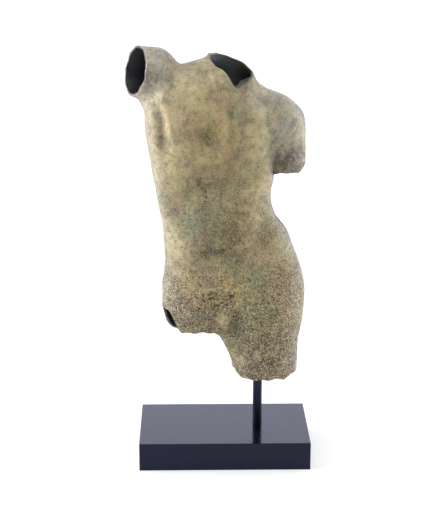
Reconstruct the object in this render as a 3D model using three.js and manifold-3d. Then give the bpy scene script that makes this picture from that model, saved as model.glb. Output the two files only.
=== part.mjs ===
// Bronze torso of a standing man, broken at the neck, arms and thighs,
// carried on a steel rod above a black stone plinth.
// Millimetres, Z up, origin at the middle of the plinth's underside, chest towards -Y.
import * as THREE from 'three';
import { mergeVertices } from 'three/addons/utils/BufferGeometryUtils.js';
import Module from 'manifold-3d';

const wasm = await Module();
wasm.setup();

// ---- plinth and rod ----
const plinthWidth = 240;
const plinthDepth = 150;
const plinthHeight = 40;
const plinthArris = 0.8;
const rodRadius = 6.5;
const rodX = 48;
const rodY = 0;
const rodTop = 514.8;
const socketDepth = 20;
const fitGap = 0.3;
const roundSides = 20;

// ---- the casting ----
const wall = 4;
const outerCell = 11;
const innerCell = 18;
const breakStep = 10;
const sectionPower = 2.3;

// Sections of the trunk from the thighs up: height, the outline's left and right
// edges, chest and back faces, the turn of the section in degrees and how far
// the body's middle line lies from the section's centre.
const sections = [
  { z: 150, left: -66, right: 102, front: -34, back: 40, turn: -5, middle: -6 },
  { z: 190, left: -75, right: 104, front: -40, back: 50, turn: -5, middle: -6 },
  { z: 217, left: -80.8, right: 106.5, front: -44, back: 56, turn: -5, middle: -7 },
  { z: 241, left: -82.2, right: 108.5, front: -47, back: 59, turn: -4, middle: -9 },
  { z: 262, left: -83.4, right: 108, front: -48, back: 57, turn: -2, middle: -10 },
  { z: 279, left: -83.4, right: 105.5, front: -49, back: 52, turn: 0, middle: -10 },
  { z: 314, left: -83, right: 93, front: -51, back: 40, turn: 4, middle: -9 },
  { z: 333, left: -84, right: 84.3, front: -51, back: 36, turn: 6, middle: -8 },
  { z: 350, left: -86.8, right: 72.2, front: -51, back: 34, turn: 8, middle: -6 },
  { z: 375, left: -91.8, right: 63.8, front: -54, back: 38, turn: 10, middle: -2 },
  { z: 400, left: -95.8, right: 66.3, front: -58, back: 45, turn: 12, middle: 0 },
  { z: 440, left: -102, right: 74, front: -60, back: 54, turn: 14, middle: 2 },
  { z: 485, left: -108, right: 83, front: -55, back: 58, turn: 15, middle: 3 },
  { z: 530, left: -102, right: 82, front: -40, back: 52, turn: 15, middle: 3 },
  { z: 600, left: -78, right: 56, front: -22, back: 34, turn: 15, middle: 3 },
];
// How the hips and the shoulders dip: slope of the level lines at each height.
const tilts = [
  { z: 150, slope: -0.1 }, { z: 240, slope: -0.12 }, { z: 300, slope: -0.06 },
  { z: 340, slope: 0 }, { z: 400, slope: 0.08 }, { z: 450, slope: 0.114 },
  { z: 500, slope: 0.2 }, { z: 560, slope: 0.3 },
];

const clamp01 = (t) => Math.min(1, Math.max(0, t));

// Smooth curve through one column of a table, held flat past its ends.
function along(table, key, z) {
  const last = table.length - 1;
  const height = Math.min(table[last].z, Math.max(table[0].z, z));
  let i = 0;
  while (i < last - 1 && table[i + 1].z <= height) i += 1;
  const rise = (k) => (table[k + 1][key] - table[k][key]) / (table[k + 1].z - table[k].z);
  const lean = (k) => {
    if (k === 0) return rise(0);
    if (k === last) return rise(last - 1);
    const below = table[k].z - table[k - 1].z;
    const above = table[k + 1].z - table[k].z;
    return (rise(k - 1) * above + rise(k) * below) / (below + above);
  };
  const step = table[i + 1].z - table[i].z;
  const t = (height - table[i].z) / step;
  const start = table[i][key] * (2 * t ** 3 - 3 * t ** 2 + 1) + step * lean(i) * (t ** 3 - 2 * t ** 2 + t);
  const end = table[i + 1][key] * (3 * t ** 2 - 2 * t ** 3) + step * lean(i + 1) * (t ** 3 - t ** 2);
  return start + end;
}

function ramp(from, to, value) {
  const t = clamp01((value - from) / (to - from));
  return t * t * (3 - 2 * t);
}

// Joins two forms with a fillet about as wide as "soft".
function blend(a, b, soft) {
  const h = clamp01(0.5 + (0.5 * (b - a)) / soft);
  return b * (1 - h) + a * h - soft * h * (1 - h);
}

// Keeps only what both forms share, with a rounded edge.
const trim = (a, b, soft) => -blend(-a, -b, soft);

function ellipsoid(x, y, z, centre, radii) {
  const p = [x - centre[0], y - centre[1], z - centre[2]];
  const near = Math.hypot(p[0] / radii[0], p[1] / radii[1], p[2] / radii[2]);
  const steep = Math.hypot(p[0] / radii[0] ** 2, p[1] / radii[1] ** 2, p[2] / radii[2] ** 2);
  return (near * (near - 1)) / Math.max(steep, 1e-6);
}

function limb(x, y, z, from, to, startRadius, endRadius, depth = 1) {
  const d = [to[0] - from[0], to[1] - from[1], to[2] - from[2]];
  const length2 = d[0] ** 2 + d[1] ** 2 + d[2] ** 2;
  const run = (x - from[0]) * d[0] + (y - from[1]) * d[1] + (z - from[2]) * d[2];
  const t = clamp01(run / length2);
  const away = Math.hypot(x - from[0] - t * d[0], (y - from[1] - t * d[1]) / depth, z - from[2] - t * d[2]);
  return away - (startRadius + (endRadius - startRadius) * t);
}

// A soft round swelling of height 1 on the skin.
function swell(u, s, cu, cs, ru, rs, lean = 0) {
  const c = Math.cos((lean * Math.PI) / 180);
  const k = Math.sin((lean * Math.PI) / 180);
  const a = (c * (u - cu) + k * (s - cs)) / ru;
  const b = (-k * (u - cu) + c * (s - cs)) / rs;
  return 1 - ramp(0, 1, Math.hypot(a, b));
}

// A squarer swelling with a flatter top.
function slab(u, s, cu, cs, ru, rs, power = 2.6, top = 0.35, foot = 1.05) {
  const t = (Math.abs((u - cu) / ru) ** power + Math.abs((s - cs) / rs) ** power) ** (1 / power);
  return 1 - ramp(top, foot, t);
}

// A ridge (or a furrow, when taken away) along a path of [across, up, height].
function ridge(u, s, path, width) {
  let best = 0;
  for (let i = 0; i + 1 < path.length; i += 1) {
    const [u0, s0, h0] = path[i];
    const [u1, s1, h1] = path[i + 1];
    const du = u1 - u0;
    const ds = s1 - s0;
    const t = clamp01(((u - u0) * du + (s - s0) * ds) / (du * du + ds * ds));
    const far2 = (u - u0 - t * du) ** 2 + (s - s0 - t * ds) ** 2;
    best = Math.max(best, (h0 + (h1 - h0) * t) * Math.exp(-far2 / (2 * width * width)));
  }
  return best;
}

function chestRelief(u, s) {
  let h = 6 * (slab(u, s, -42, 477, 45, 44) + slab(u, s, 36, 480, 34, 42));
  h += 3.2 * (swell(u, s, -45, 456, 34, 20) + swell(u, s, 38, 459, 27, 20));
  h -= ridge(u, s, [[2, 520, 0.8], [1, 480, 2.6], [0, 436, 3], [0, 420, 0.5]], 5.5);
  h -= ridge(u, s, [[-98, 506, 2], [-88, 478, 5], [-80, 448, 4.5], [-74, 420, 0.8]], 5.5);
  h += ridge(u, s, [[-104, 496, 2.5], [-96, 468, 2.6], [-88, 430, 1.6], [-84, 400, 0]], 5);
  h -= ridge(u, s, [[50, 500, 1], [58, 476, 4.5], [65, 448, 4.8], [69, 424, 1.5]], 4.8);
  h -= ridge(u, s, [[0, 430, 2.4], [-26, 408, 2.6], [-44, 376, 0.4]], breakStep);
  h -= ridge(u, s, [[0, 430, 2.4], [26, 408, 2.6], [42, 378, 0.4]], breakStep);
  h += 2.4 * (swell(u, s, -60, 400, 26, 26) + swell(u, s, 50, 402, 22, 26));
  for (const side of [-1, 1]) {
    for (let rib = 0; rib < 3; rib += 1) {
      h += 1.3 * swell(u, s, side * (72 - 3 * rib), 410 - 23 * rib, 19, 11, side * -28);
    }
  }
  return h;
}

function bellyRelief(u, s) {
  let h = -ridge(u, s, [[0, 420, 0.8], [0, 390, 1.5], [1, 345, 1.5], [1, 320, 0.5]], 4.4);
  for (const side of [-1, 1]) {
    h += 1.4 * swell(u, s, side * 19, 394, 22, 20);
    h += 1.8 * swell(u, s, side * 19, 362, 22, 20);
    h += 1.6 * swell(u, s, side * 19, 333, 20, 18);
  }
  h += 3.4 * swell(u, s, 0, 284, 40, 36);
  h -= 4.2 * Math.exp(-(u * u) / 34 - (s - 311) ** 2 / 18);
  h -= 1.6 * swell(u, s, -24, 311, 18, 14);
  h += ridge(u, s, [[72, 378, 0.6], [46, 343, 3.2], [39, 302, 3], [14, 262, 0.8]], 7.5);
  h += ridge(u, s, [[-74, 374, 0.4], [-52, 340, 2.6], [-46, 302, 2.6], [-20, 262, 0.6]], breakStep);
  h += 2.8 * (swell(u, s, 74, 322, 32, 28, -15) + swell(u, s, -72, 318, 32, 28, 15));
  return h;
}

function groinRelief(u, s) {
  let h = -ridge(u, s, [[94, 298, 2.2], [60, 270, 2.6], [36, 244, 2], [26, 228, 1]], 9);
  h -= ridge(u, s, [[-90, 292, 2.2], [-60, 266, 2.6], [-38, 242, 2.2], [-26, 226, 1.2]], 9);
  const hairWidth = 29 * ramp(200, 256, s) + 4;
  h += 2.2 * ramp(261, 253, s) * ramp(214, 238, s) * ramp(1, 0.7, Math.abs(u) / hairWidth);
  h += 3 * swell(u, s, 0, 244, 36, 28);
  h += 8 * slab(u, s, 5, 211, 13, 18, 2.2, 0.1, 1.15);
  h -= ridge(u, s, [[19, 228, 1.5], [21, 210, 5], [20, 190, 4], [18, 178, 1]], 3.8);
  h -= ridge(u, s, [[-8, 226, 0.5], [-10, 208, 2], [-10, 196, 1]], 3.8);
  return h;
}

function backRelief(u, s) {
  let h = -ridge(u, s, [[0, 536, 1], [0, 500, 3.5], [0, 400, 4.5], [0, 340, 4.5], [0, 300, 2.5]], 7.5);
  for (const side of [-1, 1]) {
    h += 3.2 * swell(u, s, side * 20, 380, 20, 95);
    h += 4.5 * swell(u, s, side * 50, 484, 36, 44, side * 12);
    h += 3 * swell(u, s, side * 60, 420, 36, 54, side * -14);
    h -= ridge(u, s, [[side * 18, 430, 0.3], [side * 36, 438, 2.2], [side * 58, 448, 2.2]], 7);
  }
  h -= ridge(u, s, [[0, 282, 1], [1, 262, 5], [2, 225, 6.5], [3, 185, 5]], 6.5);
  h -= ridge(u, s, [[-72, 212, 0.4], [-46, 200, 2.8], [-16, 196, 2.4]], breakStep);
  h -= ridge(u, s, [[20, 202, 2.4], [50, 200, 2.8], [80, 214, 0.4]], breakStep);
  return h;
}

// Distance from the skin of the unbroken body, less than zero inside it.
function body(x, y, z, carved = true) {
  const left = along(sections, 'left', z);
  const right = along(sections, 'right', z);
  const front = along(sections, 'front', z);
  const back = along(sections, 'back', z);
  const turn = (along(sections, 'turn', z) * Math.PI) / 180;
  const k = Math.sin(turn);
  const c = Math.cos(turn);
  const px = x - (left + right) / 2;
  const py = y - (front + back) / 2;
  const halfDepth = (back - front) / 2;
  const halfWidth = Math.sqrt(Math.max(1, ((right - left) / 2) ** 2 - (halfDepth * k) ** 2)) / c;
  const across = px * c + py * k;
  const deep = -px * k + py * c;
  const near = ((Math.abs(across) / halfWidth) ** sectionPower
    + (Math.abs(deep) / halfDepth) ** sectionPower) ** (1 / sectionPower);
  const steep = Math.hypot(across / halfWidth ** 2, deep / halfDepth ** 2);
  let d = (near * (near - 1)) / Math.max(steep, 1e-5);
  const dips = 7 * Math.exp(-(((x + 67) / 17) ** 2)) + 6 * Math.exp(-(((x - 66) / 28) ** 2));
  d = trim(d, (z + 0.31 * x - 0.06 * y - 549.5 + dips) / 1.05, 34);
  d = blend(d, ellipsoid(x, y, z, [-90, 4, 541], [27, 32, 36]), 10);
  d = blend(d, limb(x, y, z, [-90, 3, 545], [-160, 0, 558], 33.2, 36, 0.9), 18);
  d = blend(d, ellipsoid(x, y, z, [74, 10, 480], [34, 34, 34]), 18);
  d = blend(d, limb(x, y, z, [8, 12, 520], [9, 4, 640], 29.5, 29), 26);
  d = blend(d, ellipsoid(x, y, z, [-30, 34, 238], [43, 32, 42]), 16);
  d = blend(d, ellipsoid(x, y, z, [56, 34, 246], [46, 34, 45]), 16);
  d = trim(d, 184 - z, 30);
  d = blend(d, limb(x, y, z, [57, 6, 236], [58, 2, 60], 50, 44.6), 24);
  d = blend(d, limb(x, y, z, [-38, 0, 240], [-53, -2, 172], 44.5, 36), 20);
  d = blend(d, ellipsoid(x, y, z, [17, 0, 176], [24, 30, 34]), 10);
  if (!carved) return d;
  const u = across - along(sections, 'middle', z);
  const s = z + along(tilts, 'slope', z) * u;
  const chest = ramp(18, -12, deep) * (chestRelief(u, s) + bellyRelief(u, s) + groinRelief(u, s));
  return d - chest - ramp(-14, 10, deep) * backRelief(u, s);
}

const hangingArm = (x, y, z) => limb(x, y, z, [80, 13, 478], [81.5, 19, 350], 31.5, 31.5);

// Uneven line of a break: a few waves laid over one another.
const ragged = (p, q, start) => 1.3 * Math.sin(p * 0.31 + start)
  + 0.9 * Math.sin(p * 0.13 + q * 0.23 + 2 * start) + 0.7 * Math.sin(q * 0.47 - start);

function neckBreak(x, y) {
  const frontDip = 25 * Math.exp(-(((x - 14) / 20) ** 2) - ((y + 34) / 17) ** 2);
  return 557 - 0.42 * (x - 8) + 0.25 * y - frontDip + 0.6 * ragged(x, y, 1);
}
const armBreak = (x, y) => 410 + 13 * ramp(99, 117, x) + 0.5 * ragged(x, y, 3);
function rightThighBreak(x, y) {
  const tongue = 20 * Math.exp(-(((x - 30) / 12) ** 2)) * ramp(14, 38, y);
  return 121 - 5 * ramp(5, 40, y) - tongue + 0.8 * ragged(x, y, 4);
}
function leftThighBreak(x, y) {
  const outerRise = 31 * ramp(-57, -84, x) * (1 - ramp(5, 30, y));
  return 190.5 + outerRise - 19 * ramp(-8, 36, y) + 0.9 * ragged(x, y, 5);
}

// The break's inner side, curving from the fork down the standing thigh.
const forkSide = (z) => 11.5 - 26 * clamp01((z - 122) / 66) ** 2.2;

// Closed skin of a form: one corner point per crossed cell, drawn onto the surface.
function skin(form, low, high, cell) {
  const count = low.map((v, i) => Math.ceil((high[i] - v) / cell) + 1);
  const place = (i, j, k) => (i * count[1] + j) * count[2] + k;
  const value = new Float64Array(count[0] * count[1] * count[2]);
  for (let i = 0; i < count[0]; i += 1) {
    for (let j = 0; j < count[1]; j += 1) {
      for (let k = 0; k < count[2]; k += 1) {
        value[place(i, j, k)] = form(low[0] + i * cell, low[1] + j * cell, low[2] + k * cell);
      }
    }
  }
  const points = [];
  const pointOf = new Map();
  const settle = (p) => {
    const e = 0.4;
    const start = [...p];
    for (let n = 0; n < 4; n += 1) {
      const d = form(...p);
      const g = [0, 1, 2].map((a) => {
        const ahead = [...p];
        const behind = [...p];
        ahead[a] += e;
        behind[a] -= e;
        return (form(...ahead) - form(...behind)) / (2 * e);
      });
      const g2 = Math.max(0.2, g[0] ** 2 + g[1] ** 2 + g[2] ** 2);
      for (let a = 0; a < 3; a += 1) {
        const moved = p[a] - (0.9 * d * g[a]) / g2;
        p[a] = Math.min(start[a] + 0.45 * cell, Math.max(start[a] - 0.45 * cell, moved));
      }
    }
    return p;
  };
  for (let i = 0; i + 1 < count[0]; i += 1) {
    for (let j = 0; j + 1 < count[1]; j += 1) {
      for (let k = 0; k + 1 < count[2]; k += 1) {
        const sum = [0, 0, 0];
        let crossings = 0;
        for (let corner = 0; corner < 8; corner += 1) {
          const a = [corner & 1, (corner >> 1) & 1, corner >> 2];
          const va = value[place(i + a[0], j + a[1], k + a[2])];
          for (let axis = 0; axis < 3; axis += 1) {
            if (a[axis] === 1) continue;
            const b = [...a];
            b[axis] = 1;
            const vb = value[place(i + b[0], j + b[1], k + b[2])];
            if (va < 0 === vb < 0) continue;
            const t = va / (va - vb);
            for (let m = 0; m < 3; m += 1) sum[m] += a[m] + t * (b[m] - a[m]);
            crossings += 1;
          }
        }
        if (crossings === 0) continue;
        const at = [i, j, k].map((n, m) => low[m] + cell * (n + sum[m] / crossings));
        pointOf.set(place(i, j, k), points.length);
        points.push(settle(at));
      }
    }
  }
  const faces = [];
  const apart = (a, b) => Math.hypot(...points[a].map((v, m) => v - points[b][m]));
  const addQuad = (q) => {
    const [a, b, c, d] = q;
    if (apart(a, c) < apart(b, d)) faces.push(a, b, c, a, c, d);
    else faces.push(a, b, d, b, c, d);
  };
  for (let axis = 0; axis < 3; axis += 1) {
    const s = (axis + 1) % 3;
    const t = (axis + 2) % 3;
    for (let i = 0; i < count[0]; i += 1) {
      for (let j = 0; j < count[1]; j += 1) {
        for (let k = 0; k < count[2]; k += 1) {
          const n = [i, j, k];
          if (n[axis] + 1 >= count[axis] || n[s] === 0 || n[t] === 0) continue;
          const next = [...n];
          next[axis] += 1;
          const inside = value[place(...n)] < 0;
          if (inside === value[place(...next)] < 0) continue;
          const cellAt = (ds, dt) => {
            const m = [...n];
            m[s] -= ds;
            m[t] -= dt;
            return pointOf.get(place(...m));
          };
          const q = [cellAt(1, 1), cellAt(0, 1), cellAt(0, 0), cellAt(1, 0)];
          addQuad(inside ? q : q.reverse());
        }
      }
    }
  }
  return solidOf(points.flat(), faces);
}

function solidOf(positions, indices) {
  return new wasm.Manifold(new wasm.Mesh({
    numProp: 3,
    vertProperties: new Float32Array(positions),
    triVerts: new Uint32Array(indices),
  }));
}

function solidFrom(geometry) {
  geometry.deleteAttribute('normal');
  geometry.deleteAttribute('uv');
  const merged = mergeVertices(geometry, 1e-4);
  return solidOf(merged.attributes.position.array, merged.index.array);
}

// A block whose top is the uneven surface height(p, q), its foot at "foot".
function blockUnder(height, p0, p1, q0, q1, foot, step, layers = 1) {
  const wide = Math.round((p1 - p0) / step);
  const deep = Math.round((q1 - q0) / step);
  const block = new THREE.BoxGeometry(p1 - p0, q1 - q0, 1, wide, deep, layers);
  block.translate((p0 + p1) / 2, (q0 + q1) / 2, 0.5);
  const position = block.attributes.position;
  for (let i = 0; i < position.count; i += 1) {
    const top = height(position.getX(i), position.getY(i));
    position.setZ(i, foot + (top - foot) * position.getZ(i));
  }
  return block;
}

function torso() {
  const low = [-215, -95, 0];
  const high = [150, 105, 690];
  const outer = skin(body, low, high, outerCell);
  const hollow = (x, y, z) => Math.max(body(x, y, z), body(x, y, z, false) + 1) + wall;
  const inner = skin(hollow, low, high, innerCell);
  const armSkin = skin(hangingArm, [30, -40, 300], [140, 70, 530], outerCell);
  const armHollow = skin((x, y, z) => hangingArm(x, y, z) + wall, [30, -40, 300], [140, 70, 530], 12);
  const belowArm = solidFrom(blockUnder(armBreak, 30, 130, -40, 70, 260, 8));
  const arm = armSkin.subtract(belowArm);
  const under = solidFrom(new THREE.BoxGeometry(200, 200, 200).translate(80, 0, 340));
  const armCore = armHollow.subtract(outer.intersect(under));
  let casting = outer.add(arm).subtract(inner).subtract(armCore);
  const aboveNeck = blockUnder(neckBreak, -46, 58, -62, 68, 700, breakStep);
  const neckCutter = turnedOver(aboveNeck);
  casting = casting.subtract(neckCutter);
  // the raised arm is broken across, facing left and a little forward
  const armCut = blockUnder((p, q) => 0.5 * ragged(p, q, 2), -60, 60, -60, 60, -90, breakStep);
  const outward = new THREE.Vector3(0.86, 0.47, -0.2).normalize();
  armCut.applyQuaternion(new THREE.Quaternion().setFromUnitVectors(new THREE.Vector3(0, 0, 1), outward));
  armCut.translate(-117, 0, 552);
  casting = casting.subtract(solidFrom(armCut));
  casting = casting.subtract(solidFrom(blockUnder(rightThighBreak, -10, 125, -70, 80, -20, 8)));
  // the left thigh is gone below its break, as far across as the fork
  const leftCut = blockUnder(leftThighBreak, -112, forkSide(190), -80, 96, 128, breakStep, 5);
  const position = leftCut.attributes.position;
  for (let i = 0; i < position.count; i += 1) {
    const share = (position.getX(i) + 112) / (forkSide(190) + 112);
    position.setX(i, -112 + share * (forkSide(position.getZ(i)) + 112));
  }
  casting = casting.subtract(solidFrom(leftCut));
  return casting;
}

// A height block whose foot lies above its uneven face has to be turned inside out.
function turnedOver(geometry) {
  geometry.deleteAttribute('normal');
  geometry.deleteAttribute('uv');
  const merged = mergeVertices(geometry, 1e-4);
  const index = Array.from(merged.index.array);
  for (let i = 0; i < index.length; i += 3) [index[i], index[i + 1]] = [index[i + 1], index[i]];
  return solidOf(merged.attributes.position.array, index);
}

function plinth() {
  const block = new THREE.Shape();
  const halfWidth = plinthWidth / 2 - plinthArris;
  const halfDepth = plinthDepth / 2 - plinthArris;
  block.moveTo(-halfWidth, -halfDepth);
  block.lineTo(halfWidth, -halfDepth);
  block.lineTo(halfWidth, halfDepth);
  block.lineTo(-halfWidth, halfDepth);
  block.closePath();
  const geometry = new THREE.ExtrudeGeometry(block, {
    depth: plinthHeight - 2 * plinthArris,
    bevelEnabled: true,
    bevelThickness: plinthArris,
    bevelSize: plinthArris,
    bevelSegments: 1,
  }).translate(0, 0, plinthArris);
  const socket = new THREE.CylinderGeometry(rodRadius + fitGap, rodRadius + fitGap, socketDepth + 10, roundSides);
  socket.rotateX(Math.PI / 2).translate(rodX, rodY, plinthHeight + 5 - socketDepth / 2);
  return solidFrom(geometry).subtract(solidFrom(socket));
}

function rod() {
  const foot = plinthHeight - socketDepth + fitGap;
  const geometry = new THREE.CylinderGeometry(rodRadius, rodRadius, rodTop - foot, roundSides);
  return solidFrom(geometry.rotateX(Math.PI / 2).translate(rodX, rodY, (rodTop + foot) / 2));
}

function named(name, solid, colour, metalness, roughness) {
  const mesh = solid.getMesh();
  const geometry = new THREE.BufferGeometry();
  const corners = [];
  for (let i = 0; i < mesh.vertProperties.length; i += mesh.numProp) {
    corners.push(mesh.vertProperties[i], mesh.vertProperties[i + 1], mesh.vertProperties[i + 2]);
  }
  geometry.setAttribute('position', new THREE.Float32BufferAttribute(corners, 3));
  geometry.setIndex(Array.from(mesh.triVerts));
  geometry.computeVertexNormals();
  const piece = new THREE.Mesh(geometry, new THREE.MeshStandardMaterial({ color: colour, metalness, roughness }));
  piece.name = name;
  return piece;
}

const sculpture = new THREE.Group();
sculpture.name = 'bronze_torso';
sculpture.add(named('torso_casting', torso(), 0x8c7f63, 0.6, 0.6));
sculpture.add(named('support_rod', rod(), 0x25252b, 0.8, 0.35));
sculpture.add(named('plinth', plinth(), 0x26272f, 0.1, 0.3));

export default sculpture;
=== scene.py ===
# Bronze torso on a rod and a black stone plinth: looks, light and camera.
import math
import bpy
import numpy as np
from mathutils import Matrix, Vector


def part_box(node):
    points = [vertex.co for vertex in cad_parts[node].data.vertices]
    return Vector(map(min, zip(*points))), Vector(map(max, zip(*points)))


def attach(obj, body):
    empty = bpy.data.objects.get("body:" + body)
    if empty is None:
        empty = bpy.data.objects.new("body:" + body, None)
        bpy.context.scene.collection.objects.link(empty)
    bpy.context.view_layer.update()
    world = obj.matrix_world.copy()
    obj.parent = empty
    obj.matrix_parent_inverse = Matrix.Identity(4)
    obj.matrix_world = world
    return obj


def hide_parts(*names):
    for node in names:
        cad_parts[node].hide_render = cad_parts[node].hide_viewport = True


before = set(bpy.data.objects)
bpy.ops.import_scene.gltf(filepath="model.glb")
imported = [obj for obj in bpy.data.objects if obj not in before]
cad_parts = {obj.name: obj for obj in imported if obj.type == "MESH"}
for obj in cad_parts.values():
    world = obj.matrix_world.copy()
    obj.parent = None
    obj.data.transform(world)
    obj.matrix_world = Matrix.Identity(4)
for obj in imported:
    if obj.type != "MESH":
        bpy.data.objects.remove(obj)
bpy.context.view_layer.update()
mm = 0.001
cubeCorners = [(i, j, k) for i in (0, 1) for j in (0, 1) for k in (0, 1)]


def boxOf(node):
    # the low and the high corner of a solid's box, in mm
    low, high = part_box(node)
    return np.array(low) / mm, np.array(high) / mm


castLow, castHigh = boxOf("torso_casting")
rodLow, rodHigh = boxOf("support_rod")
slabLow, slabHigh = boxOf("plinth")
footMiddle = np.array([(slabLow[0] + slabHigh[0]) / 2, (slabLow[1] + slabHigh[1]) / 2, slabLow[2]])
print("frame read", castLow.round(1), castHigh.round(1))


def colour(hexText):
    # sRGB hex to linear: the low end is a straight line, the rest a power of 2.4
    parts = [int(hexText[i:i + 2], 16) / 255 for i in (1, 3, 5)]
    return tuple(c / 12.92 if c <= 0.04045 else ((c + 0.055) / 1.055) ** 2.4 for c in parts) + (1.0,)


def ramp(start, end, value):
    # smooth step: 3t^2 - 2t^3 of the share of the way from start to end
    t = np.clip((value - start) / (end - start), 0, 1)
    return t * t * (3 - 2 * t)


def join(a, b, soft):
    # smooth minimum: the lower of two distances with a fillet about "soft" wide
    h = np.clip(0.5 + 0.5 * (b - a) / soft, 0, 1)
    return b * (1 - h) + a * h - soft * h * (1 - h)


def lattice(p, size, seed):
    # value noise: a scrambled number from -1 to 1 at every corner of a lattice, blended smoothly in each cell
    q = p / size
    base = np.floor(q).astype(np.int64)
    t = q - base
    t = t * t * (3 - 2 * t)
    top = 0x7FFFFFFF
    total = np.zeros(len(p))
    for corner in cubeCorners:
        n = np.bitwise_xor.reduce((base + corner) * np.array([73856093, 19349663, 83492791]), axis=1)
        n = (n ^ (seed * 2654435761)) & top
        n = (n * 1103515245 + 12345) & top
        n = ((n >> 7) ^ n) * 48271 & top
        share = [t[:, axis] if far else 1 - t[:, axis] for axis, far in enumerate(corner)]
        total += share[0] * share[1] * share[2] * (n / top * 2 - 1)
    return total


torsoForm = {
    "wall": 2.8,            # thickness of the cast shell seen at the breaks, mm
    "sectionPower": 2.3,    # 2 is an ellipse, more is squarer
    "skinCell": 2.25,       # spacing of the outer skin, mm
    "hollowCell": 6.0,      # spacing of the trunk's inner skin, mm
    "armHollowCell": 4.0,   # spacing of the hanging arm's inner skin, mm
    "breakCell": 1.6,       # spacing of the uneven break faces, mm
    "grit": 0.28,           # depth of the fine unevenness, mm
    "swell": 0.55,          # depth of the broad unevenness, mm
    "curl": 1.5,            # height of the curls of hair, mm
    "boxGap": 0.03,         # the skin stays this far inside the solid's box, mm
    "crease": 48,           # edges sharper than this stay hard, degrees
}

# height, left, right, front, back, turn in degrees, middle line
sections = np.array([
    [150, -66, 102, -34, 40, -5, -6],
    [190, -75, 104, -40, 50, -5, -6],
    [217, -80.8, 106.5, -44, 56, -5, -7],
    [241, -82.2, 108.5, -47, 59, -4, -9],
    [262, -83.4, 108, -48, 57, -2, -10],
    [279, -83.4, 105.5, -49, 52, 0, -10],
    [314, -83, 93, -51, 40, 4, -9],
    [333, -84, 84.3, -51, 36, 6, -8],
    [350, -86.8, 72.2, -51, 34, 8, -6],
    [375, -91.8, 63.8, -54, 38, 10, -2],
    [400, -95.8, 66.3, -58, 45, 12, 0],
    [440, -102, 74, -60, 54, 14, 2],
    [485, -108, 83, -55, 58, 15, 3],
    [530, -102, 82, -40, 52, 15, 3],
    [600, -78, 56, -22, 34, 15, 3],
])
# height, slope of the level lines across the body
tilts = np.array([
    [150, -0.1], [240, -0.12], [300, -0.06], [340, 0], [400, 0.08], [450, 0.114], [500, 0.2], [560, 0.3],
])


def along(table, column, z):
    # smooth curve through a column: cubic pieces whose slopes weigh the two neighbours
    heights, values = table[:, 0], table[:, column]
    step = np.diff(heights)
    rise = np.diff(values) / step
    slope = np.empty_like(values)
    slope[0], slope[-1] = rise[0], rise[-1]
    slope[1:-1] = (rise[:-1] * step[1:] + rise[1:] * step[:-1]) / (step[:-1] + step[1:])
    level = np.clip(z, heights[0], heights[-1])
    i = np.clip(np.searchsorted(heights, level, side="right") - 1, 0, len(heights) - 2)
    t = (level - heights[i]) / step[i]
    start = values[i] * (2 * t**3 - 3 * t**2 + 1) + step[i] * slope[i] * (t**3 - 2 * t**2 + t)
    end = values[i + 1] * (3 * t**2 - 2 * t**3) + step[i] * slope[i + 1] * (t**3 - t**2)
    return start + end


def ball(x, y, z, centre, radii):
    # ellipsoid: how far out in radii, turned into millimetres by its own steepness
    p = (x - centre[0], y - centre[1], z - centre[2])
    near = np.sqrt(sum((c / r) ** 2 for c, r in zip(p, radii)))
    steep = np.sqrt(sum((c / r**2) ** 2 for c, r in zip(p, radii)))
    return near * (near - 1) / np.maximum(steep, 1e-6)


def limb(x, y, z, start, end, startRadius, endRadius, depth=1.0):
    # tapered round bar: distance from a straight axis less a radius that changes along it
    d = [e - s for s, e in zip(start, end)]
    t = ((x - start[0]) * d[0] + (y - start[1]) * d[1] + (z - start[2]) * d[2]) / sum(c * c for c in d)
    t = np.clip(t, 0, 1)
    away = (x - start[0] - t * d[0], (y - start[1] - t * d[1]) / depth, z - start[2] - t * d[2])
    return np.sqrt(sum(a**2 for a in away)) - (startRadius + (endRadius - startRadius) * t)


def turnedSection(x, y, z):
    # place across and through the turned section at this height, with its half sizes
    left, right, front, back, turn = (along(sections, c, z) for c in (1, 2, 3, 4, 5))
    s, c = np.sin(np.radians(turn)), np.cos(np.radians(turn))
    px, py = x - (left + right) / 2, y - (front + back) / 2
    halfDepth = (back - front) / 2
    halfWidth = np.sqrt(np.maximum(1, ((right - left) / 2) ** 2 - (halfDepth * s) ** 2)) / c
    return px * c + py * s, -px * s + py * c, halfWidth, halfDepth


# the line that cuts the trunk off along the shoulders, and how deep it dips: (depth, across, half width)
shoulders = {"height": 549.5, "fallAcross": 0.31, "riseBack": 0.06, "steepness": 1.05, "fillet": 34}
shoulderDips = [(12, -67, 15), (-3, -33, 11), (8.5, 59, 32)]
trunkFoot = {"height": 184, "fillet": 30}
# what is joined to the trunk: shape, its places and radii, width of the fillet
upperForms = [
    (ball, [(-93, 4, 540), (24, 32, 36)], 10),                      # raised shoulder
    (limb, [(-98, 3, 546.5), (-160, 0, 558), 33.5, 36, 0.9], 18),   # raised arm
    (ball, [(-98, 6, 508), (13, 18, 16)], 12),                      # fold of the armpit
    (ball, [(73.2, 10, 480), (34, 34, 34)], 18),                    # shoulder of the hanging arm
    (limb, [(8, 12, 520), (9, 4, 640), 29.5, 29], 26),              # neck
    (ball, [(-30, 34, 238), (43, 32, 42)], 16),                     # buttocks
    (ball, [(56, 34, 246), (46, 34, 45)], 16),
]
legForms = [
    (limb, [(57, 6, 236), (58, 2, 60), 50, 44.6], 24),              # standing thigh
    (limb, [(-38, 0, 240), (-53, -2, 172), 44.5, 36], 20),          # broken thigh
    (ball, [(17, 0, 176), (24, 30, 34)], 10),                       # fork
]
hangingForm = [(80, 13, 478), (83, 19, 350), 31.5, 31.5]


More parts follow.
